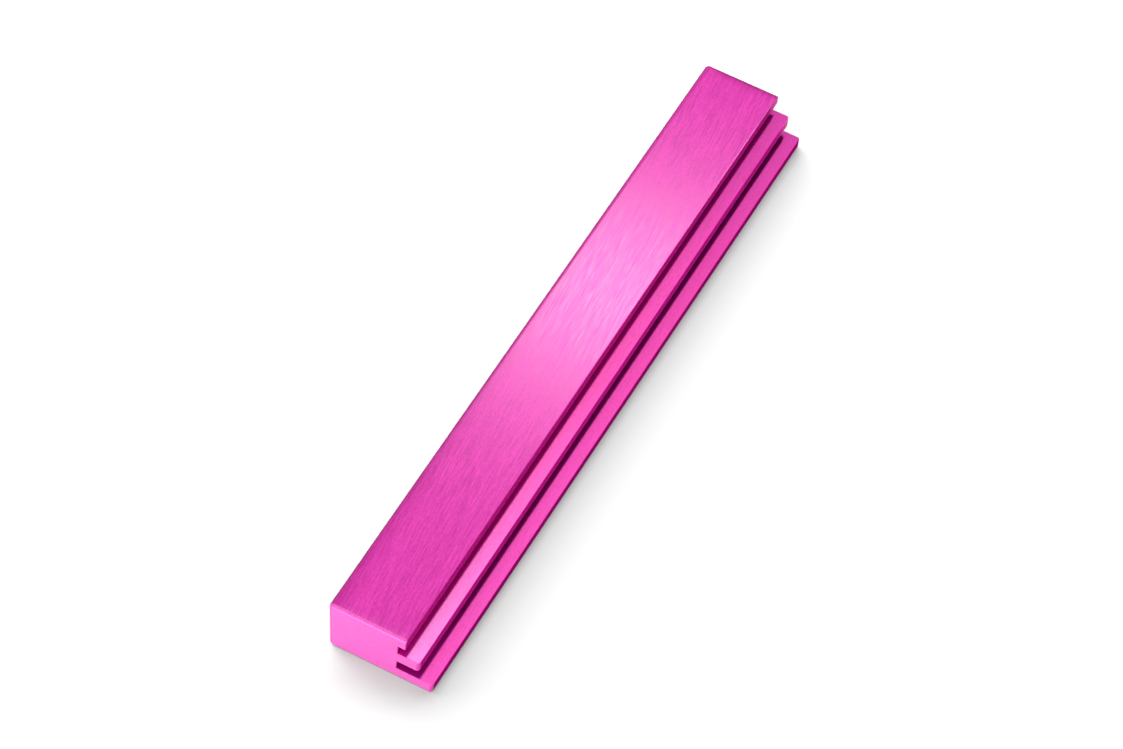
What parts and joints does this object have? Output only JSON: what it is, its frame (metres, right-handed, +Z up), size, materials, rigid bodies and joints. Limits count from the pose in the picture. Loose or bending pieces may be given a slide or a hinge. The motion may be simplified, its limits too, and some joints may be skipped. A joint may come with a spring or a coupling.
{
  "type": "side edge file guide",
  "caption": "Grooved aluminium bar that holds a file magnetically on a sloping side face, at a fixed angle for sharpening a ski's side edges.",
  "frame": {"origin": "middle of the footprint, on the surface that the two glide strips rest on", "axes": "+Y along the bar, +Z up from the base face to the wide top face, -X towards the sloping file seat, +X towards the stepped fins"},
  "size_m": [0.0217, 0.15, 0.0118],
  "materials": {
    "anodised_pink": "brushed, pink anodised",
    "magnet_nickel": "nickel plated, satin",
    "glide_plastic": "natural white low-friction plastic"
  },
  "bodies": {
    "root": {"guide_body": "anodised_pink", "file_magnet_1": "magnet_nickel", "file_magnet_2": "magnet_nickel", "file_magnet_3": "magnet_nickel", "file_magnet_4": "magnet_nickel", "file_magnet_5": "magnet_nickel", "file_magnet_6": "magnet_nickel", "base_glide_strip_seat_side": "glide_plastic", "base_glide_strip_fin_side": "glide_plastic"}
  },
  "joints": []
}
